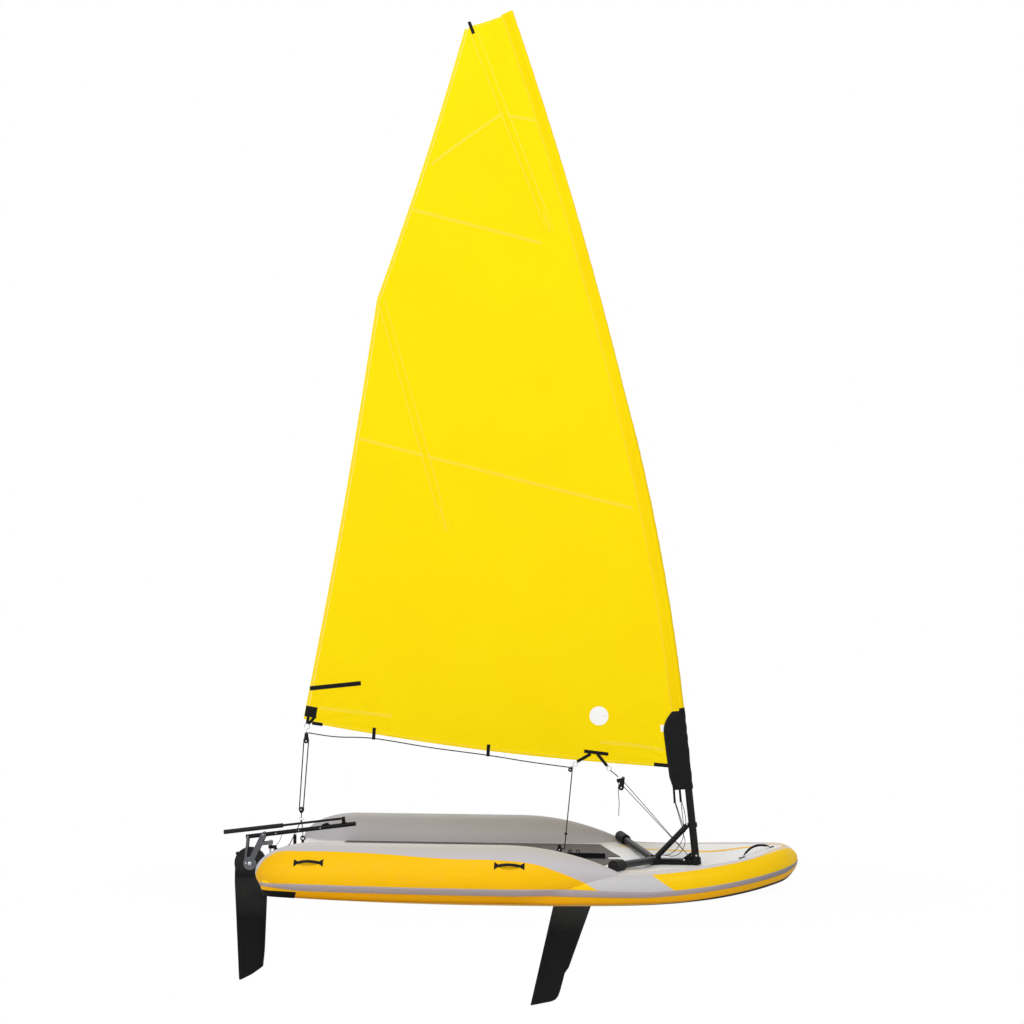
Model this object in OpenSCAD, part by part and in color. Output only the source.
// Two-person inflatable sailing dinghy, rigged and afloat.
// Frame: +X towards the bow, +Y to port, +Z up. Origin: amidships, on the centreline, at the waterline.

/* [Hull board] */
// Length from the aft tips of the side tubes to the bow
hull_length = 2800; // [2500:10:3400]
// Half width of the board at its widest, at mid height
board_half_width = 655; // [600:5:790]
// Horizontal depth of the board's rounded side
board_side = 85; // [70:1:100]
// Height of the deck edge above the waterline, amidships
deck_edge_z = 150; // [140:1:180]
// Hollow of the deck below its edges
deck_hollow = 16; // [8:1:20]
// Depth of the bottom below the waterline, on the centreline
board_draft = 35; // [28:1:42]
// Rise of the bottom from the centreline to its outer edges
deadrise = 18; // [8:1:22]
// Rise of the deck edge at the bow
sheer_rise = 78; // [60:1:95]
// Rise of the bottom at the bow
bow_rocker = 100; // [80:1:130]
// Rise of the bottom at the stern
stern_rocker = 28; // [15:1:34]
// Gap from the aft tips of the tubes to the transom
transom_inset = 40; // [30:1:60]

/* [Side tubes] */
// Diameter of a side tube
tube_d = 296; // [270:1:320]
// Distance of a tube's centreline from the boat's centreline
tube_y = 550; // [530:1:600]
// Height of a tube's centreline
tube_z = 134; // [120:1:150]
// Length of a tube's rounded stern end
tube_stern_len = 320; // [260:1:360]
// Length of a tube's tapered nose
tube_nose_len = 630; // [500:1:680]
// Distance of a nose tip behind the bow
tube_nose_back = 898; // [860:1:950]

/* [Deck fittings] */
// Thickness of the floor pads
pad_thick = 5; // [3:0.5:8]
// Half width of the bare strip between the pads
pad_inner_y = 42; // [38:1:60]
// Width of the rubbing strake amidships
strake_w = 38; // [28:1:46]
// Thickness of the rubbing strake
strake_t = 7; // [5:0.5:10]
// Width of the webbing handles
handle_w = 24; // [18:1:30]
// Height of the webbing handles over the skin
handle_rise = 20; // [16:1:30]

/* [Mast] */
// Diameter of the lower mast
mast_d = 40; // [36:1:46]
// Distance of the mast's foot behind the bow
mast_back = 534; // [500:1:560]
// Rake of the lower mast, degrees aft
mast_rake = 5.7; // [3:0.1:8]
// Length of the straight lower mast
lower_mast_len = 750; // [700:5:850]
// Length of the middle, curved stretch
mid_mast_len = 1450; // [1200:10:1600]
// Bend of the middle stretch, degrees
mid_mast_bend = 7.0; // [4:0.1:8]
// Length of the top stretch
top_mast_len = 2585; // [2100:5:2700]
// Bend of the top stretch, degrees
top_mast_bend = 5.9; // [4:0.1:7]

/* [Sail] */
// Height of the clew above the waterline
clew_z = 850; // [820:1:900]
// Distance of the clew behind amidships
clew_x = 1252; // [1200:1:1320]
// Height of the corner in the leech
leech_corner_z = 3184; // [3000:1:3300]
// Distance of the leech corner behind amidships
leech_corner_x = 862; // [800:1:900]
// Width of the sail's head
head_w = 243; // [200:1:300]
// Belly of the sail to port
camber = 45; // [20:1:60]
// Thickness of the sailcloth as modelled
cloth_t = 1.8; // [1.4:0.1:2.4]
// Depth of the luff sleeve behind the mast's axis
sleeve_depth = 46; // [40:1:56]

/* [Daggerboard] */
// Chord of the daggerboard
dagger_chord = 198; // [160:1:210]
// Thickness of the daggerboard
dagger_t = 22; // [16:1:26]
// Lean of the daggerboard, degrees, top forward
dagger_lean = 16.5; // [12:0.1:22]
// Distance of its centre forward of amidships, on deck
dagger_x = 273; // [250:1:290]
// Reach of the daggerboard below the waterline
dagger_reach = 645; // [560:1:760]

/* [Rudder] */
// Chord of the rudder blade
blade_chord = 183; // [160:1:210]
// Thickness of the rudder blade
blade_t = 20; // [16:1:22]
// Radius of the blade's round head
blade_head_r = 88; // [80:1:90]
// Reach of the blade below its pivot
blade_reach = 637; // [520:1:720]
// Diameter of the pintle pin
pintle_d = 10; // [8:1:12]
// Distance of the steering axis behind the transom
steer_back = 102; // [95:1:115]

/* [Tiller] */
// Diameter of the tiller
tiller_d = 24; // [20:1:26]
// Length of the tiller
tiller_len = 613; // [520:1:650]
// Upward slope of the tiller, degrees
tiller_slope = 7.5; // [4:0.1:10]
// Length of the tiller extension
extension_len = 655; // [540:1:700]
// Diameter of the extension's tube
extension_d = 13; // [11:1:16]
// Diameter of its foam grip
grip_d = 24; // [20:1:28]

/* [Hidden] */
$fn = 48;

seat = 0.3;           // gap between a soft or faceted piece and its seat
run = 0.05;           // radial clearance of a running pin
bow_x = hull_length / 2;
transom_x = -hull_length / 2 + transom_inset;

// ---- general shapes ----

function clamp01(t) = max(0, min(1, t));
function smooth(a, b, x) = let (t = clamp01((x - a) / (b - a))) t * t * (3 - 2 * t);
function mix(a, b, t) = a + (b - a) * t;

// A closed solid through rings of points, each ring flat and counterclockwise as seen from the last ring.
module loft(rings) {
    n = len(rings[0]);
    m = len(rings);
    ends = [[for (i = [0:n - 1]) i], [for (i = [n - 1:-1:0]) (m - 1) * n + i]];
    sides = [for (j = [0:m - 2]) for (i = [0:n - 1])
        let (a = j * n + i, b = j * n + (i + 1) % n, c = b + n, d = a + n)
        each [[a, d, c], [a, c, b]]];
    polyhedron([for (r = rings) each r], concat(ends, sides), convexity = 6);
}

// A closed solid between two grids of points; the first grid's rows run up and its columns run
// to the right as seen from its outside.
module slab(front, back) {
    m = len(front);
    n = len(front[0]);
    size = m * n;
    faces = [for (i = [0:m - 2]) for (j = [0:n - 2])
        let (a = i * n + j, b = a + 1, c = b + n, d = a + n)
        each [[a, d, c], [a, c, b], [a + size, b + size, c + size], [a + size, c + size, d + size]]];
    foot = [for (j = [0:n - 2]) let (a = j, b = j + 1)
        each [[a, b, b + size], [a, b + size, a + size]]];
    head = [for (j = [0:n - 2]) let (d = (m - 1) * n + j, c = d + 1)
        each [[c, d, d + size], [c, d + size, c + size]]];
    left = [for (i = [0:m - 2]) let (a = i * n, d = a + n)
        each [[d, a, a + size], [d, a + size, d + size]]];
    right = [for (i = [0:m - 2]) let (b = i * n + n - 1, c = b + n)
        each [[b, c, c + size], [b, c + size, b + size]]];
    polyhedron(concat([for (r = front) each r], [for (r = back) each r]),
        concat(faces, foot, head, left, right), convexity = 6);
}

// A round bar from p to q.
module bar(p, q, r) {
    v = q - p;
    len_v = norm(v);
    translate(p)
        rotate([0, acos(v[2] / len_v), atan2(v[1], v[0])])
            cylinder(h = len_v, r = r);
}

// A flat bar with round ends from p to q in a side view, w wide.
module bar2d(p, q, w) {
    v = q - p;
    translate(p) rotate(atan2(v[1], v[0])) translate([0, -w / 2]) square([norm(v), w]);
    translate(p) circle(d = w);
    translate(q) circle(d = w);
}

// A plate lying in a side view, from y0 to y1.
module side_plate(y0, y1) {
    translate([0, y1, 0]) rotate([90, 0, 0]) linear_extrude(height = y1 - y0) children();
}

// The same plate on both sides of the middle plane.
module both_sides(y0, y1) {
    side_plate(y0, y1) children();
    side_plate(-y1, -y0) children();
}

// A ring round an axis along +Z, centred on its middle.
module ring(r, wire_r) {
    rotate_extrude() translate([r, 0]) circle(r = wire_r, $fn = 24);
}

// ---- hull board ----

bow_fair_x = -400;    // the board narrows from here to the bow
rim_lift_x = bow_x - 800;     // the deck edge rises from here
rocker_x = bow_x - 950;       // the bottom rises from here to the bow
stern_rise_x = transom_x + 1060;  // and from here to the stern
foredeck_x = bow_x - 500;     // the middle of the foredeck rises from here
foredeck_end_x = bow_x - 130;
foredeck_rise = 103;
mast_well = 26;       // the deck dips this much more between the pads and the foredeck
well_x = [bow_x - 930, bow_x - 810];  // where that dip begins and is complete
corner_r = 60;        // rounding of the transom's corners in plan
stem_round = 95;      // length of the rounding of the stem

function plan_half(x, grow = 0) =
    let (t = clamp01((x - bow_fair_x) / (bow_x + grow - bow_fair_x)),
        s = max(0, transom_x - grow + corner_r - x),
        corner = corner_r - sqrt(max(0, corner_r * corner_r - s * s)))
    (board_half_width + grow) * pow(max(0.00001, 1 - pow(t, 2.5)), 0.6) - min(corner, corner_r);
function rim_z(x) = deck_edge_z + sheer_rise * pow(max(0, (x - rim_lift_x) / (bow_x - rim_lift_x)), 1.5);
function deck_mid_z(x) = min(rim_z(x),
    deck_edge_z - deck_hollow - mast_well * smooth(well_x[0], well_x[1], x)
    + foredeck_rise * pow(max(0, (x - foredeck_x) / (foredeck_end_x - foredeck_x)), 1.6));
function bottom_z(x) = -board_draft + bow_rocker * pow(max(0, (x - rocker_x) / (bow_x - rocker_x)), 2.5)
    + stern_rocker * pow(max(0, (stern_rise_x - x) / (stern_rise_x - transom_x)), 2);
function flat_half(x) = max(0, plan_half(x) - board_side);
function edge_bottom_z(x) = bottom_z(x) + deadrise * clamp01(flat_half(x) / (board_half_width - board_side));
function mid_z(x) = (rim_z(x) + edge_bottom_z(x)) / 2;
function deck_z(x, y) = let (w = max(1, flat_half(x))) deck_mid_z(x)
    + (rim_z(x) - deck_mid_z(x)) * pow(min(1, abs(y) / w), 2);
function stem_scale(x, grow) = let (s = clamp01((x - bow_x + stem_round) / (stem_round + 2 + grow)))
    sqrt(1 - s * s);

// One cross-section: along the bottom to starboard's side, up it, across the deck and down to port's.
function board_ring(x, grow = 0) =
    let (w = plan_half(x, grow), side = min(board_side, w), f = w - side,
        top = rim_z(x), low = edge_bottom_z(x), zc = mid_z(x), k = stem_scale(x, grow),
        h = (top - low) / 2 + grow, n_side = 8, n_flat = 8,
        port = [for (i = [0:n_side]) let (a = -90 + 180 * i / n_side)
            [x, f + side * cos(a), zc + k * h * sin(a)]],
        deck = [for (i = [1:n_flat - 1]) let (u = 1 - 2 * i / n_flat)
            [x, f * u, zc + k * (deck_mid_z(x) + (top - deck_mid_z(x)) * u * u + grow - zc)]],
        starboard = [for (i = [0:n_side]) let (a = 90 - 180 * i / n_side)
            [x, -f - side * cos(a), zc + k * h * sin(a)]],
        bottom = [for (i = [1:n_flat - 1]) let (u = -1 + 2 * i / n_flat)
            [x, f * u, zc + k * (bottom_z(x) + (low - bottom_z(x)) * u * u - grow - zc)]])
    concat(port, deck, starboard, bottom);

board_mid_stations = 14;
board_bow_stations = 20;
board_stations = concat(
    [for (i = [0:4]) transom_x + corner_r * (1 - cos(90 * i / 4))],
    [for (i = [1:board_mid_stations]) mix(transom_x + corner_r, rocker_x, i / board_mid_stations)],
    [for (i = [1:board_bow_stations]) mix(rocker_x, bow_x, sin(89 * i / board_bow_stations))]);

module board_solid(grow = 0) {
    loft([for (i = [0:len(board_stations) - 1])
        let (x = board_stations[i], shift = i == 0 ? -grow : 0) board_ring(x + shift, grow)]);
}

dagger_dir = [sin(dagger_lean), 0, cos(dagger_lean)];
dagger_top = [dagger_x, 0, deck_edge_z - deck_hollow];
case_wall = 4;
case_gap = 2.5;
case_len = dagger_chord + 2 * (case_gap + case_wall);
case_width = dagger_t + 2 * (case_gap + case_wall);

// A block along the daggerboard's slot, centred on it.
module slot_block(length, width, low, high) {
    translate(dagger_top) rotate([0, dagger_lean, 0])
        translate([-length / 2, -width / 2, low]) cube([length, width, high - low]);
}

module hull_board() {
    color([0.96, 0.95, 0.94]) difference() {
        board_solid();
        slot_block(case_len + 2 * seat, case_width + 2 * seat, -400, 300);
    }
}

// ---- side tubes ----

tube_r = tube_d / 2;
tube_aft_x = -hull_length / 2;
tube_nose_x = bow_x - tube_nose_back;
nose_in = 26;         // the nose's tip lies this much further inboard
seam_z = 52;          // the tube's skin ends here, under the strake

function tube_radius(x) =
    let (s = clamp01((tube_aft_x + tube_stern_len - x) / tube_stern_len),
        t = clamp01((x - tube_nose_x + tube_nose_len) / tube_nose_len))
    tube_r * pow(max(0.0004, 1 - pow(s, 2.2)), 0.5) * pow(max(0.0008, 1 - t * t), 0.95);
function tube_mid_y(x) = tube_y - nose_in * smooth(tube_nose_x - tube_nose_len, tube_nose_x, x);
function tube_mid_z(x) = tube_z - 6 * smooth(tube_aft_x + tube_stern_len, tube_aft_x, x);

tube_stations = concat(
    [for (i = [0:9]) tube_aft_x + tube_stern_len * (1 - cos(90 * i / 9))],
    [for (i = [1:4]) mix(tube_aft_x + tube_stern_len, tube_nose_x - tube_nose_len, i / 4)],
    [for (i = [1:14]) tube_nose_x - tube_nose_len + tube_nose_len * sin(90 * i / 14)]);

module tube_solid(side, grow = 0) {
    n = 32;
    loft([for (x = tube_stations)
        [for (i = [0:n - 1]) let (a = 360 * i / n, r = tube_radius(x) + grow)
            [x, side * tube_mid_y(x) + r * cos(a), tube_mid_z(x) + r * sin(a)]]]);
}

module side_tube(side) {
    color([0.80, 0.79, 0.81]) difference() {
        tube_solid(side);
        board_solid(seat);
        translate([-hull_length, -hull_length / 2, -hull_length + seam_z])
            cube([2 * hull_length, hull_length, hull_length]);
    }
}

module side_tube_starboard() { side_tube(-1); }

module side_tube_port() { side_tube(1); }

// ---- floor pads and strake ----

pad_aft_x = transom_x + 240;
pad_front_in_x = bow_x - 940;
pad_front_out_x = bow_x - 1065;
pad_outer_y = tube_y - tube_r - 8;

function pad_front(y) = mix(pad_front_in_x, pad_front_out_x,
    (abs(y) - pad_inner_y) / (pad_outer_y - pad_inner_y));
function pad_grid(side, lift) = [for (j = [0:6])
    let (y = side * mix(pad_inner_y, pad_outer_y, (side > 0 ? j : 6 - j) / 6))
    [for (i = [0:12]) let (front = pad_front(y),
        x = mix(pad_aft_x, front, i / 12)) [x, y, deck_z(x, y) + lift]]];

module floor_pad(side) {
    color([0.36, 0.34, 0.32]) slab(pad_grid(side, seat + pad_thick), pad_grid(side, seat));
}

module floor_pad_starboard() { floor_pad(-1); }

module floor_pad_port() { floor_pad(1); }

strake_drop = 20;     // the strake falls this far below mid height towards the bow
strake_bow_w = 27;

function strake_mid_z(x) = mid_z(x) - strake_drop * smooth(0, 700, x);
function strake_width(x) = mix(strake_w, strake_bow_w, smooth(0, 900, x));
// The hull's outer half width at a height, board and tube together.
function hull_half(x, z) =
    let (zt = tube_mid_z(x), r = tube_radius(x), d = z - zt,
        tube = abs(d) < r && z > seam_z - 8 ? tube_mid_y(x) + sqrt(r * r - d * d) : 0,
        w = plan_half(x), side = min(board_side, w),
        h = stem_scale(x, 0) * (rim_z(x) - edge_bottom_z(x)) / 2,
        e = clamp01(abs(z - mid_z(x)) / h), board = w - side + side * sqrt(1 - e * e))
    max(tube, board);
fine_x = bow_x - 1160;    // stations are closer together forward of this
strake_stations = concat(
    [for (i = [0:14]) mix(transom_x + 6, fine_x, i / 14)],
    [for (i = [1:22]) mix(fine_x, bow_x, sin(88 * i / 22))]);

function strake_ring(x, side) =
    let (z = strake_mid_z(x), w = strake_width(x) / 2, y0 = hull_half(x, z - w), y1 = hull_half(x, z + w),
        inset = 12, low = [y0 + strake_t * 0.7, z - w], high = [y1 + strake_t * 0.7, z + w],
        mid = [max(hull_half(x, z), (y0 + y1) / 2) + strake_t, z],
        ring = [[y0 - inset, z - w], low, mid, high, [y1 - inset, z + w]])
    [for (i = [0:4]) let (p = ring[side > 0 ? i : 4 - i]) [x, side * max(0.5, p[0]), p[1]]];

module rubbing_strake() {
    color([0.68, 0.64, 0.68]) for (side = [-1, 1]) difference() {
        loft([for (x = strake_stations) strake_ring(x, side)]);
        board_solid(seat);
        tube_solid(side, seat);
        if (side > 0) translate([-bow_x, -60 + seat / 2, -bow_x]) cube([4 * bow_x, 60, 2 * bow_x]);
        if (side < 0) translate([-bow_x, 0, -bow_x]) cube([4 * bow_x, 60, 2 * bow_x]);
    }
}

// ---- daggerboard case ----

flange_t = 4;
flange_lip = 16;
flange_z = deck_z(dagger_x, case_width / 2 + flange_lip) + seat;

module daggerboard_case() {
    color([0.16, 0.16, 0.17]) {
        difference() {
            union() {
                intersection() {
                    slot_block(case_len, case_width, -400, 300);
                    translate([-bow_x, -case_width, -board_draft + 1])
                        cube([2 * bow_x, 2 * case_width, board_draft - 1 + flange_z + flange_t]);
                }
                translate([dagger_x - case_len / 2 - flange_lip, -case_width / 2 - flange_lip, flange_z])
                    cube([case_len + 2 * flange_lip, case_width + 2 * flange_lip, flange_t]);
            }
            slot_block(dagger_chord + 2 * case_gap, dagger_t + 2 * case_gap, -400, 300);
        }
    }
}

// ---- webbing handles ----

// An arched strap over a straight base along +X, with a flat patch at each end; +Z is off the skin.
module strap_handle(length, width, rise, patch) {
    t = 2.4;
    half = length / 2;
    arch = [for (i = [0:12]) [mix(-half, half, i / 12), rise * sin(15 * i)]];
    rotate([90, 0, 0]) linear_extrude(height = width, center = true)
        polygon(concat([[-half - patch, 0]], arch, [[half + patch, 0], [half + patch, t]],
            [for (i = [12:-1:0]) arch[i] + [0, t]], [[-half - patch, t]]));
}

side_handle_len = 105;
side_handle_patch = 24;
side_handle_xs = [transom_x + 265, tube_nose_x - 574];
side_handle_a = 27;   // degrees above the tube's side

module side_handle(side, x) {
    half = side_handle_len / 2 + side_handle_patch;
    slope = atan2(tube_radius(x - half) - tube_radius(x + half), 2 * half);
    r = (tube_radius(x - half) + tube_radius(x + half)) / 2 + 0.9;
    color([0.20, 0.20, 0.21]) difference() {
        translate([x, side * (tube_mid_y(x) + r * cos(side_handle_a)),
            tube_mid_z(x) + r * sin(side_handle_a)])
            rotate([side > 0 ? side_handle_a - 90 : 90 - side_handle_a, 0, 0]) rotate([0, slope, 0])
                strap_handle(side_handle_len, handle_w, handle_rise, side_handle_patch);
        tube_solid(side, seat);
    }
}

module side_handle_starboard_aft() { side_handle(-1, side_handle_xs[0]); }

module side_handle_starboard_forward() { side_handle(-1, side_handle_xs[1]); }

module side_handle_port_aft() { side_handle(1, side_handle_xs[0]); }

module side_handle_port_forward() { side_handle(1, side_handle_xs[1]); }

bow_handle_x = [bow_x - 286, bow_x - 138];

module bow_handle() {
    z0 = deck_mid_z(bow_handle_x[0]);
    z1 = deck_mid_z(bow_handle_x[1]);
    run_x = bow_handle_x[1] - bow_handle_x[0];
    pitch = atan2(z1 - z0, run_x);
    color([0.20, 0.20, 0.21])
        translate([(bow_handle_x[0] + bow_handle_x[1]) / 2, 0, (z0 + z1) / 2 + 1.2])
            rotate([0, -pitch, 0]) strap_handle(norm([run_x, z1 - z0]) - 36, handle_w, 40, 18);
}

// ---- mast path ----

mast_r = mast_d / 2;
mast_foot = [bow_x - mast_back, 0, deck_mid_z(bow_x - mast_back) + 5];
mid_r = mid_mast_len / (mid_mast_bend * PI / 180);
top_r = top_mast_len / (top_mast_bend * PI / 180);
mast_len = lower_mast_len + mid_mast_len + top_mast_len;
mid_s = lower_mast_len + mid_mast_len;
mid_tube_r = mast_r - 1;
top_tube_r = mast_r - 5;

function mast_angle(s) = mast_rake + mid_mast_bend * clamp01((s - lower_mast_len) / mid_mast_len)
    + top_mast_bend * clamp01((s - mid_s) / top_mast_len);
function straight_pt(s) = mast_foot + s * [-sin(mast_rake), 0, cos(mast_rake)];
function arc_centre(p, a, r) = p - r * [cos(a), 0, sin(a)];
mid_centre = arc_centre(straight_pt(lower_mast_len), mast_rake, mid_r);
mid_end = mid_centre + mid_r * [cos(mast_rake + mid_mast_bend), 0, sin(mast_rake + mid_mast_bend)];
top_centre = arc_centre(mid_end, mast_rake + mid_mast_bend, top_r);
function mast_pt(s) = s <= lower_mast_len ? straight_pt(s)
    : let (a = mast_angle(s)) s <= mid_s ? mid_centre + mid_r * [cos(a), 0, sin(a)]
    : top_centre + top_r * [cos(a), 0, sin(a)];
function forward(s) = let (a = mast_angle(s)) [cos(a), 0, sin(a)];
// The length along the mast at which it passes a height.
function mast_s(z, low = 0, high = mast_len, steps = 18) = steps == 0 ? (low + high) / 2
    : let (s = (low + high) / 2) mast_pt(s)[2] < z ? mast_s(z, s, high, steps - 1)
    : mast_s(z, low, s, steps - 1);

// Places children on the mast's axis at length s, +Z along the mast and +X forward.
module on_mast(s) {
    translate(mast_pt(s)) rotate([0, -mast_angle(s), 0]) children();
}

// A curved tube about an arc's centre, between two angles in the side view.
module arc_tube(centre, r, a0, a1, tube) {
    translate(centre) rotate([90, 0, 0]) rotate([0, 0, a0])
        rotate_extrude(angle = a1 - a0, $fn = 96) translate([r, 0]) circle(r = tube);
}

// ---- mast foot frame ----

hub = [mast_foot[0] - 221, 0, deck_mid_z(mast_foot[0] - 221) + 20];
cup_r = mast_r + 7;
cup_h = 34;
collar_s = 196;
collar_h = 24;
collar_r = mast_r + 6;
frame_r = 20;
arm_tip = [hub[0] - 183, 452, deck_edge_z + 22];
frame_z = hub[2];
frame_low = deck_z(hub[0], 34) + 1;

module mast_foot_frame() {
    color([0.12, 0.12, 0.13]) {
        difference() {
            union() {
                on_mast(-1) cylinder(h = cup_h + 1, r = cup_r);
                translate([hub[0], -frame_r, frame_low]) cube([mast_foot[0] - hub[0], 2 * frame_r, 30]);
                translate([hub[0], 0, frame_low]) cylinder(h = frame_z + 17 - frame_low, r = 34);
                side_plate(-4, 4) polygon([[mast_foot[0] - 80, frame_z + 8],
                    [mast_foot[0] - 18, frame_z + 8], [mast_foot[0] - 24, frame_z + 50]]);
            }
            on_mast(0) cylinder(h = 400, r = mast_r + 0.8);
        }
    }
}

module frame_arm(side) {
    tip = [arm_tip[0], side * arm_tip[1], arm_tip[2]];
    start = hub + 36.5 * (tip - hub) / norm(tip - hub);
    color([0.12, 0.12, 0.13]) bar(start + [0, 0, 2], tip + [0, 0, 2], frame_r - 1);
}

module frame_arm_starboard() { frame_arm(-1); }

module frame_arm_port() { frame_arm(1); }

module arm_socket(side) {
    tip = [arm_tip[0], side * arm_tip[1], arm_tip[2]];
    dir = (tip - hub) / norm(tip - hub);
    color([0.09, 0.09, 0.10]) difference() {
        bar(tip + [0, 0, 2] - 42 * dir, tip + [0, 0, 2] + 58 * dir, frame_r + 9);
        bar(tip + [0, 0, 2] - 43 * dir, tip + [0, 0, 2], frame_r - 1 + seat);
        tube_solid(side, seat);
        board_solid(seat);
    }
}

module arm_socket_starboard() { arm_socket(-1); }

module arm_socket_port() { arm_socket(1); }

module mast_brace() {
    foot = [hub[0] + 8, 0, frame_z + 17];
    top = mast_pt(collar_s + collar_h / 2) - (collar_r + 1.5) * forward(collar_s);
    color([0.12, 0.12, 0.13]) difference() {
        bar(foot, top, 15);
        translate([hub[0] - 100, -100, frame_z - 100]) cube([200, 200, 117]);
        on_mast(collar_s - 60) cylinder(h = 150, r = collar_r);
    }
}

module mast_collar() {
    color([0.10, 0.10, 0.11]) difference() {
        on_mast(collar_s) cylinder(h = collar_h, r = collar_r);
        on_mast(collar_s - 5) cylinder(h = collar_h + 10, r = mast_r + 0.8);
    }
}

// ---- stern ----

steer_x = transom_x - steer_back;
eye_z = [12, 158];
eye_h = 18;
eye_r = pintle_d / 2 + 6;

module stern_bracket() {
    plate_t = 8;
    spine_x = steer_x + 22;
    color([0.11, 0.11, 0.12]) difference() {
        union() {
            translate([transom_x - seat - plate_t, -55, 28]) cube([plate_t, 110, 96]);
            for (z = eye_z) {
                translate([steer_x, 0, z]) cylinder(h = eye_h, r = eye_r);
                translate([steer_x, -7, z]) cube([28, 14, eye_h]);
            }
            translate([spine_x, -7, eye_z[0]]) cube([12, 14, eye_z[1] - eye_z[0] + eye_h]);
            translate([spine_x, -7, 60]) cube([transom_x - seat - spine_x, 14, 22]);
            side_plate(-4, 4) polygon([
                [spine_x + 6, eye_z[1] + 10], [transom_x - 6, 120], [transom_x - 6, 90],
                [spine_x + 6, 90]]);
        }
        translate([steer_x, 0, -50]) cylinder(h = 400, r = pintle_d / 2 + run);
    }
}

post_x = transom_x + 35;

module stern_post() {
    color([0.10, 0.10, 0.11]) {
        z = deck_z(post_x, 20) + seat;
        translate([post_x, 0, z]) cylinder(h = 5, r = 26);
        translate([post_x, 0, z]) cylinder(h = 236 - z, r = 9);
    }
}

bridle_eye = [transom_x + 42, 160, 192];

module bridle_eye_piece(side) {
    z = deck_z(bridle_eye[0], bridle_eye[1] + 22) + seat;
    color([0.10, 0.10, 0.11]) {
        translate([bridle_eye[0] - 22, side * bridle_eye[1] - 22, z]) cube([44, 44, 4]);
        translate([bridle_eye[0], side * bridle_eye[1], z + 2]) cylinder(h = bridle_eye[2] - z - 14, r = 7);
        translate([bridle_eye[0], side * bridle_eye[1], bridle_eye[2]]) rotate([90, 0, 0]) ring(11, 3.5);
    }
}

module bridle_eye_starboard() { bridle_eye_piece(-1); }

module bridle_eye_port() { bridle_eye_piece(1); }

floor_block_x = dagger_x - case_len / 2 - flange_lip - 20;

module floor_block() {
    z = deck_z(floor_block_x, 16) + seat;
    color([0.10, 0.10, 0.11]) {
        translate([floor_block_x - 14, -16, z]) cube([28, 32, 4]);
        translate([floor_block_x, 9, z + 24]) rotate([90, 0, 0]) cylinder(h = 18, r = 14);
        translate([floor_block_x - 7, -7, z + 2]) cube([14, 14, 20]);
    }
}

// ---- mast and sail ----

module lower_mast() {
    color([0.10, 0.10, 0.11]) on_mast(1) cylinder(h = lower_mast_len - 1 - seat, r = mast_r);
}

module upper_mast() {
    color([0.10, 0.10, 0.11]) {
        arc_tube(mid_centre, mid_r, mast_rake, mast_rake + mid_mast_bend, mid_tube_r);
        arc_tube(top_centre, top_r, mast_rake + mid_mast_bend,
            mast_rake + mid_mast_bend + top_mast_bend, top_tube_r);
    }
}

skin = 1.2;           // thickness of the sleeve's cloth
sleeve_gap = 0.9;     // slack of the sleeve round the mast
sleeve_low_z = 522;
tack_top_z = 944;
tack_low_z = 512;
tack_depth = 104;     // how far the tack panel reaches behind the mast's axis

function sleeve_r(s) = mix(mast_r, top_tube_r, clamp01((s - mid_s - 110) / 200)) + sleeve_gap + skin;

// One line round a folded sleeve at length s: from its starboard edge forward round the mast to port's.
function sleeve_line(s, r, depth, slit) =
    let (o = mast_pt(s), f = forward(s), n = 14, a1 = 180 - acos(r / depth),
        line = concat([[-depth, -slit]],
            [for (i = [0:n]) let (a = mix(-a1, a1, i / n)) [r * cos(a), r * sin(a)]], [[-depth, slit]]))
    [for (p = line) o + p[0] * f + [0, p[1], 0]];

sleeve_steps = 44;

module luff_sleeve() {
    s0 = mast_s(sleeve_low_z);
    s1 = mast_len + 2;
    ss = [for (i = [0:sleeve_steps]) mix(s0, s1, i / sleeve_steps)];
    color([1.0, 0.86, 0.0])
        slab([for (s = ss) sleeve_line(s, sleeve_r(s), sleeve_depth, 0.4 + skin)],
            [for (s = ss) sleeve_line(s, sleeve_r(s) - skin, sleeve_depth, 0.4)]);
}

function tack_reach(u) = u < 0.16 ? mix(tack_depth - 22, tack_depth - 6, u / 0.16)
    : u < 0.7 ? mix(tack_depth - 6, tack_depth, (u - 0.16) / 0.54)
    : mix(tack_depth, sleeve_depth + 4, pow((u - 0.7) / 0.3, 2));

module tack_sleeve() {
    s0 = mast_s(tack_low_z);
    s1 = mast_s(tack_top_z);
    wall = 1.6;
    us = [for (i = [0:22]) i / 22];
    function line(u, r, slit) = let (s = mix(s0, s1, u))
        sleeve_line(s, sleeve_r(s) + 0.8 + r, tack_reach(u), slit);
    color([0.12, 0.12, 0.14])
        slab([for (u = us) line(u, wall, 2.2 + wall)], [for (u = us) line(u, 0, 2.2)]);
}

tack_z = 627;
foot_round = 34;      // how far the foot hangs below a straight line
head_z = 4706;        // height of the leech's top end
leech_hollow = 16;

function leech_x(z) = z < leech_corner_z
    ? let (t = clamp01((z - clew_z) / (leech_corner_z - clew_z)))
        -mix(clew_x + 14, leech_corner_x, t) + leech_hollow * sin(180 * t)
    : let (t = clamp01((z - leech_corner_z) / (head_z - leech_corner_z)), top = mast_pt(mast_len - 40))
        mix(-leech_corner_x, top[0] - head_w, t) + leech_hollow * sin(180 * t);

sail_rows = 34;
sail_cols = 16;

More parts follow.
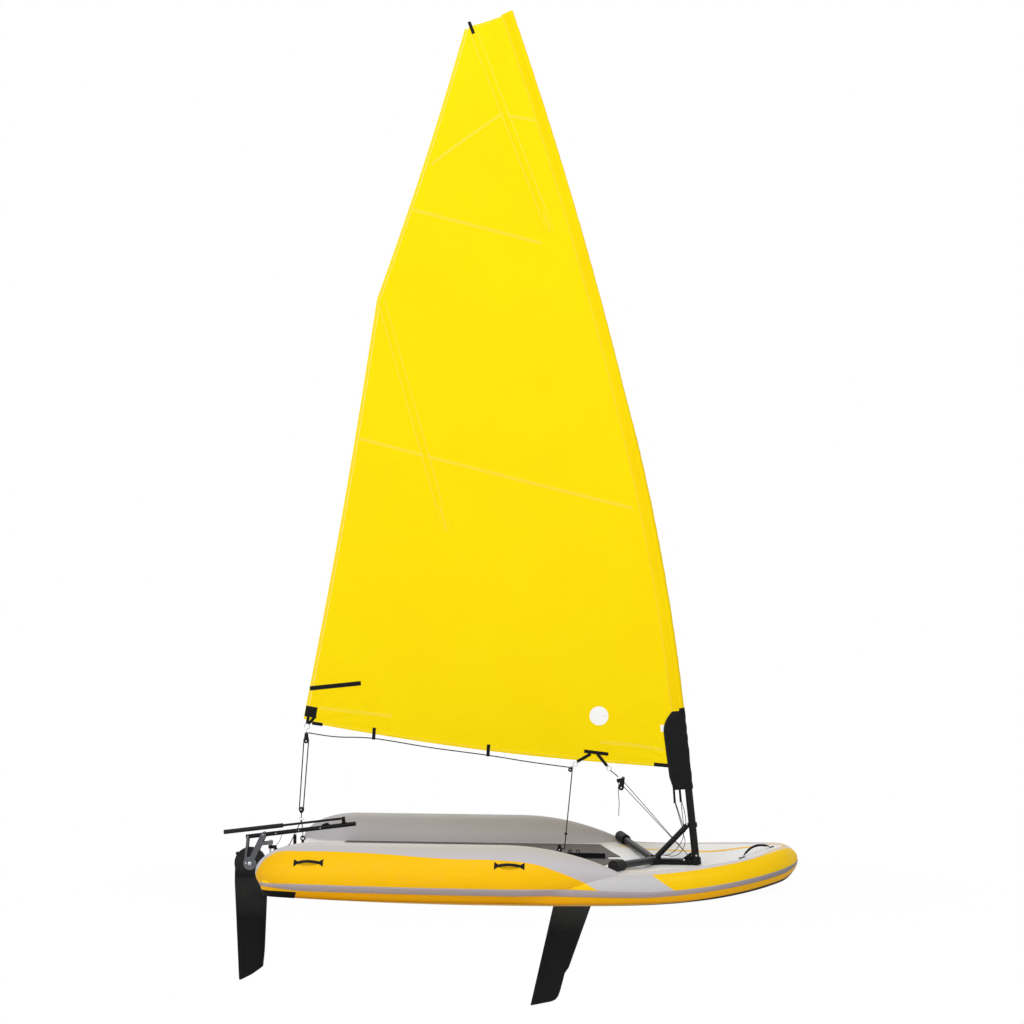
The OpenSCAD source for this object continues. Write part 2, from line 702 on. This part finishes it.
// A point of the sail: u from foot to head, v from luff to leech.
function sail_pt(u, v) =
    let (s0 = mast_s(tack_z), s1 = mast_len - 4, s = mix(s0, s1, u),
        luff = mast_pt(s) - (sleeve_depth + seat) * forward(s),
        zl = mix(clew_z, head_z, u), leech = [leech_x(zl), 0, zl],
        p = mix(luff, leech, v),
        belly = camber * sin(180 * pow(clamp01(u), 0.8)) * 0.86 + camber * 0.14,
        round = foot_round * pow(1 - clamp01(u), 10) * sin(180 * clamp01(v)))
    p + [0, belly * 16 * v * v * (1 - v) * (1 - v), -round];

function sail_grid(y) = [for (i = [0:sail_rows]) [for (j = [0:sail_cols])
    sail_pt(i / sail_rows, j / sail_cols) + [0, y, 0]]];

module sail() {
    color([1.0, 0.88, 0.0]) slab(sail_grid(cloth_t / 2), sail_grid(-cloth_t / 2));
}

// ---- sail fittings ----

fit_y = cloth_t / 2 + 0.7;    // a strap on the sail's side lies this far from the cloth's middle
strap_t = 2;
clew = [-clew_x, 0, clew_z];
clew_ring = [clew[0] - 9, clew[2] - 22];

// The place on the sail, as [u, v], that shows at a point of the side view.
function sail_uv(p, u = 0, steps = 7) =
    let (luff = sail_pt(u, 0), leech = sail_pt(u, 1), v = (luff[0] - p[0]) / (luff[0] - leech[0]),
        z = sail_pt(u, v)[2])
    steps == 0 ? [u, v] : sail_uv(p, u + (p[1] - z) / (head_z - clew_z), steps - 1);
function sail_y(p) = let (q = sail_uv(p)) sail_pt(q[0], clamp01(q[1]))[1];

// A strap along the sail from p to q in the side view, w wide, off from the cloth's middle on one side.
module sail_strap(p, q, w, side, off = 0) {
    dir = (q - p) / norm(q - p);
    across = [-dir[1], dir[0]] * w / 2;
    n = 5;
    y0 = fit_y + off;
    function line(i, y) = let (c = mix(p, q, i / n))
        [for (k = [-1, 0, 1]) let (e = c + k * across) [e[0], sail_y(e) + y, e[1]]];
    near = [for (i = [0:n]) line(i, side > 0 ? y0 : -y0 - strap_t)];
    far = [for (i = [0:n]) line(i, side > 0 ? y0 + strap_t : -y0)];
    slab(far, near);
}

module clew_fitting() {
    color([0.13, 0.13, 0.14]) {
        for (side = [-1, 1]) {
            sail_strap([clew[0] - 12, clew[2] + 62], [clew[0] + 44, clew[2] + 52], 56, side);
            sail_strap([clew[0] + 2, clew[2] + 34], [clew_ring[0], clew_ring[1] + 14], 16, side);
        }
        translate([clew_ring[0], 0, clew_ring[1]]) rotate([90, 0, 0]) ring(15, 3.4);
    }
}

// A pulley block hanging at a point: cheeks, sheave and shackle, in the side view.
module block_at(p, r, h) {
    translate(p) rotate([90, 0, 0]) {
        translate([0, 0, -r * 0.55]) cylinder(h = r * 1.1, r = r);
        translate([-r * 0.62, 0, -r * 0.55]) cube([r * 1.24, h, r * 1.1]);
    }
}

module clew_block() {
    color([0.10, 0.10, 0.11]) {
        block_at([clew[0] - 12, 0, clew[2] - 96], 15, 34);
        translate([clew[0] - 12, 0, clew[2] - 66]) cylinder(h = 25.2, r = 2.6);
    }
}

loop_vs = [0.815, 0.505];     // places of the sheet's loops along the foot, from tack to clew

module foot_loops() {
    color([0.10, 0.10, 0.11]) for (v = loop_vs) {
        p = sail_pt(0, v);
        top = [p[0], p[2] + 32];
        for (side = [-1, 1]) sail_strap([p[0], p[2] - 28], top, 18, side);
        translate([p[0] - 9, p[1] - fit_y - strap_t, p[2] - 30]) cube([18, 2 * (fit_y + strap_t), 3]);
    }
}

web = [[mast_foot[0] - 594, 706], [mast_foot[0] - 474, 692]];
aft_ring = [mast_foot[0] - 649, 638];
vang_ring = [mast_foot[0] - 465, 616];
ring_r = 12;
ring_wire = 2.4;

module foot_webbing() {
    color([0.12, 0.12, 0.13]) {
        for (side = [-1, 1]) {
            sail_strap(web[0], web[1], 18, side);
            sail_strap([web[0][0] + 28, 692], aft_ring + [8, 9], 16, side, strap_t + seat);
            sail_strap([web[1][0] - 54, 692], vang_ring + [-8, 9], 16, side, strap_t + seat);
        }
        for (c = [aft_ring, vang_ring])
            translate([c[0], sail_y(c), c[1]]) rotate([90, 0, 0]) ring(ring_r, ring_wire + 1.4);
    }
}

foot_block_p = aft_ring - [27, 32];

module foot_block() {
    y = sail_y(aft_ring);
    dir = (aft_ring - foot_block_p) / norm(aft_ring - foot_block_p);
    top = aft_ring - (ring_r + ring_wire + 1.8) * dir;
    color([0.10, 0.10, 0.11]) {
        block_at([foot_block_p[0], y, foot_block_p[1]], 12, 10);
        bar([foot_block_p[0], y, foot_block_p[1]], [top[0], y, top[1]], 3);
    }
}

vang_block_p = [vang_ring[0] + 57, 0, 540];

module vang_block() {
    start = [vang_ring[0], sail_y(vang_ring), vang_ring[1]];
    finish = [vang_block_p[0] - 8, 0, vang_block_p[2] + 34];
    dir = (finish - start) / norm(finish - start);
    color([0.11, 0.11, 0.12]) {
        bar(start + (ring_r + ring_wire + 2.2) * dir, finish, 3);
        translate(vang_block_p) rotate([0, -12, 0]) {
            translate([-15, -9, -26]) cube([30, 18, 60]);
            translate([0, 9, -26]) rotate([90, 0, 0]) cylinder(h = 18, r = 15);
        }
    }
}

module downhaul_strap() {
    base = mast_pt(mast_s(tack_low_z));
    slope = tan(mast_rake);
    function edge(dx) = base[2] + dx * slope - 0.4;
    color([0.10, 0.10, 0.11]) for (dx = [-90, -56])
        translate([base[0], 0, 0]) side_plate(-12, 12)
            polygon([[dx, 466], [dx + 12, 466], [dx + 12, edge(dx + 12)], [dx, edge(dx)]]);
}

module head_tip() {
    p = sail_pt(1, 1);
    color([0.10, 0.10, 0.11]) for (side = [-1, 1])
        sail_strap([p[0] + 3, p[2] + 27], [p[0] + 28, p[2] - 40], 14, side);
}

// ---- rudder ----

pivot = [steer_x - 111, 77];
cheek_y = max(blade_t / 2 + 2, tiller_d / 2 + 0.8);
cheek_t = 3.5;
tiller_a = [steer_x - 136, 220];
tiller_dir = [cos(tiller_slope), sin(tiller_slope)];
bolt_s = [12, 100];   // places of the two bolts along the tiller
lug_z = [34, 180];

module cheek() {
    front = tiller_a + bolt_s[1] * tiller_dir;
    back = tiller_a + bolt_s[0] * tiller_dir;
    bar2d(pivot, front, 30);
    translate(pivot) circle(r = 36);
    bar2d(pivot + [-26, 4], back, 12);
    bar2d(pivot, [steer_x, lug_z[0] + 10], 18);
    bar2d(mix(pivot, front, 0.68), [steer_x, lug_z[1] + 10], 18);
}

module rudder_head() {
    front = tiller_a + bolt_s[1] * tiller_dir;
    back = tiller_a + bolt_s[0] * tiller_dir;
    width = 2 * (cheek_y + cheek_t);
    color([0.42, 0.42, 0.43]) difference() {
        union() {
            both_sides(cheek_y, cheek_y + cheek_t) cheek();
            for (z = lug_z) translate([steer_x - 11, -cheek_y - cheek_t, z]) cube([22, width, 20]);
            for (p = [front, back, pivot])
                translate([p[0], width / 2 + 3, p[1]]) rotate([90, 0, 0]) cylinder(h = width + 6, r = 4);
        }
        translate([steer_x, 0, -50]) cylinder(h = 400, r = pintle_d / 2 + seat);
    }
}

module pintle_pin() {
    color([0.75, 0.76, 0.78]) {
        translate([steer_x, 0, 4]) cylinder(h = 202, r = pintle_d / 2);
        translate([steer_x, 0, lug_z[1] + 20 + seat]) cylinder(h = 5, r = pintle_d / 2 + 4);
    }
}

module tiller() {
    color([0.11, 0.11, 0.12]) difference() {
        union() {
            bar([tiller_a[0], 0, tiller_a[1]],
                [tiller_a[0] + tiller_len * tiller_dir[0], 0, tiller_a[1] + tiller_len * tiller_dir[1]],
                tiller_d / 2);
            translate([tiller_a[0], 0, tiller_a[1]]) rotate([0, -tiller_slope, 0]) {
                translate([430, -8, tiller_d / 2 - 3]) cube([34, 16, 10]);
                translate([knuckle_s - 15, -11, tiller_d / 2 - 4]) cube([30, 22, 6]);
            }
        }
        for (s = bolt_s) {
            p = tiller_a + s * tiller_dir;
            translate([p[0], 50, p[1]]) rotate([90, 0, 0]) cylinder(h = 100, r = 4 + seat);
        }
    }
}

knuckle_s = 552;      // place of the extension's joint along the tiller
knuckle_h = 22;       // height of the lift axis over the tiller's top
grip_len = 322;
ext_fold = 0.9;       // the folded extension lies at this angle over the tiller
ext_swing = 5;        // and this much to starboard of it
knuckle_base = [tiller_a[0] + knuckle_s * tiller_dir[0], 0, tiller_a[1] + knuckle_s * tiller_dir[1]];
// A direction given along the tiller, to port and up from it, in the boat's frame.
function from_tiller(v) = [v[0] * cos(tiller_slope) - v[2] * sin(tiller_slope), v[1],
    v[0] * sin(tiller_slope) + v[2] * cos(tiller_slope)];
lift_axis_p = knuckle_base + (tiller_d / 2 + 2 + knuckle_h) * from_tiller([0, 0, 1]);
ext_dir = from_tiller([-cos(ext_fold) * cos(ext_swing), -cos(ext_fold) * sin(ext_swing), sin(ext_fold)]);

module tiller_knuckle() {
    color([0.09, 0.09, 0.10]) translate(knuckle_base) rotate([0, -tiller_slope, 0])
        translate([0, 0, tiller_d / 2 + 2 + seat]) difference() {
            union() {
                cylinder(h = 10, r = 10);
                rotate([0, 0, ext_swing]) {
                    translate([-9, -9, 8]) cube([18, 18, 22]);
                }
            }
            rotate([0, 0, ext_swing]) translate([-30, -4.5, 12]) cube([60, 9, 30]);
            rotate([0, 0, ext_swing]) translate([0, 30, knuckle_h - seat]) rotate([90, 0, 0])
                cylinder(h = 60, r = 3 + run);
        }
}

module tiller_extension() {
    start = lift_axis_p + 14 * ext_dir;
    finish = lift_axis_p + extension_len * ext_dir;
    color([0.10, 0.10, 0.11]) {
        bar(start, finish, extension_d / 2);
        translate(lift_axis_p) rotate([0, -tiller_slope, 0]) rotate([0, 0, ext_swing]) rotate([90, 0, 0]) {
            translate([0, 0, -4]) cylinder(h = 8, r = 7);
            translate([0, 0, -9]) cylinder(h = 18, r = 3);
        }
        bar(lift_axis_p, lift_axis_p + 20 * ext_dir, 4);
    }
}

module extension_grip() {
    color([0.07, 0.07, 0.08]) difference() {
        bar(lift_axis_p + (extension_len - grip_len) * ext_dir,
            lift_axis_p + (extension_len + 4) * ext_dir, grip_d / 2);
        bar(lift_axis_p + (extension_len - grip_len - 5) * ext_dir,
            lift_axis_p + (extension_len + seat) * ext_dir, extension_d / 2 + seat);
    }
}

// Half thickness of a symmetric foil at a fraction of its chord.
function foil(u) = 5 * (0.2969 * sqrt(u) - 0.1260 * u - 0.3516 * u * u + 0.2843 * pow(u, 3)
    - 0.1036 * pow(u, 4));

// A foil section with its nose towards +X, chord c and thickness t.
module foil2d(c, t) {
    n = 16;
    us = [for (i = [0:n]) (1 - cos(180 * i / n)) / 2];
    upper = [for (u = us) [c / 2 - c * u, t * foil(u)]];
    lower = [for (i = [n - 1:-1:1]) [c / 2 - c * us[i], -t * foil(us[i])]];
    polygon(concat(upper, lower));
}

blade_front = 95;     // the blade's leading edge lies this far forward of the pivot

module blade_outline() {
    x0 = pivot[0] + blade_front - blade_chord;
    x1 = pivot[0] + blade_front;
    low = pivot[1] - blade_reach;
    polygon([[pivot[0] - blade_head_r * 0.98, pivot[1]], [x0 - 1, pivot[1] - blade_head_r - 8],
        [x0 + 5, pivot[1] - 193], [x0 + 29, low + 6], [x0 + 33, low], [x0 + 45, low + 4],
        [x0 + 101, low + 33], [x0 + 140, low + 60], [x1 - 21, low + 77], [x1 - 12, low + 165],
        [x1, pivot[1] - 170],
        [pivot[0] + blade_head_r * 0.96, pivot[1] - 30], [pivot[0] + 20, pivot[1]]]);
}

module rudder_blade() {
    color([0.10, 0.10, 0.10]) difference() {
        union() {
            intersection() {
                side_plate(-blade_t, blade_t) blade_outline();
                translate([pivot[0] + blade_front - blade_chord / 2, 0, pivot[1] - blade_reach - 10])
                    linear_extrude(height = blade_reach + 20) foil2d(blade_chord, blade_t);
            }
            side_plate(-blade_t / 2, blade_t / 2) intersection() {
                translate(pivot) circle(r = blade_head_r);
                translate([pivot[0] - 200, pivot[1] - 60]) square([400, 400]);
            }
            side_plate(-blade_t / 2, blade_t / 2) bar2d(pivot + [-60, 42], pivot + [-74, 52], 16);
        }
        translate([pivot[0], 50, pivot[1]]) rotate([90, 0, 0]) cylinder(h = 100, r = 4 + run);
    }
}

// ---- daggerboard ----

head_h = 26;
head_len = dagger_chord + 12;
dagger_head_w = 46;

// The tip in the side view: level aft and drawn up in three steps to the leading edge.
dagger_tip = [[-300, -77], [86, 12], [108, 21], [123, 39], [134, 67], [160, 165], [700, 900], [-300, 900]];

module daggerboard() {
    straight = (95 + dagger_top[2]) / cos(dagger_lean);
    depth = (dagger_reach + 30 + dagger_top[2]) / cos(dagger_lean);
    taper = 1 - 0.1204 * (depth - straight) / dagger_chord;
    color([0.10, 0.10, 0.10]) intersection() {
        translate(dagger_top) rotate([0, dagger_lean, 0]) {
            translate([0, 0, -straight])
                linear_extrude(height = straight + 8) foil2d(dagger_chord, dagger_t);
            translate([0, 0, -straight]) mirror([0, 0, 1])
                linear_extrude(height = depth - straight, scale = taper) foil2d(dagger_chord, dagger_t);
        }
        side_plate(-dagger_t, dagger_t) polygon([for (p = dagger_tip) [p[0], p[1] - dagger_reach]]);
    }
}

module daggerboard_head() {
    lift = flange_z + flange_t + seat;
    color([0.08, 0.08, 0.09]) {
        difference() {
            union() {
                translate([dagger_x - head_len / 2, -dagger_head_w / 2, lift])
                    cube([head_len, dagger_head_w, head_h]);
                for (dx = [-84, -42])
                    translate([dagger_x + dx, 0, lift + head_h + 5]) rotate([90, 0, 0]) ring(8, 2.2);
            }
            slot_block(dagger_chord + 1, dagger_t + 1, -300, 8);
        }
    }
}

hull_board();
side_tube_starboard();
side_tube_port();
floor_pad_starboard();
floor_pad_port();
rubbing_strake();
daggerboard_case();
bow_handle();
side_handle_starboard_aft();
side_handle_starboard_forward();
side_handle_port_aft();
side_handle_port_forward();
mast_foot_frame();
frame_arm_starboard();
frame_arm_port();
arm_socket_starboard();
arm_socket_port();
mast_brace();
mast_collar();
stern_bracket();
stern_post();
bridle_eye_starboard();
bridle_eye_port();
floor_block();
lower_mast();
upper_mast();
luff_sleeve();
tack_sleeve();
sail();
clew_fitting();
clew_block();
foot_loops();
foot_webbing();
foot_block();
vang_block();
downhaul_strap();
head_tip();
rudder_head();
pintle_pin();
tiller();
tiller_knuckle();
tiller_extension();
extension_grip();
rudder_blade();
daggerboard();
daggerboard_head();
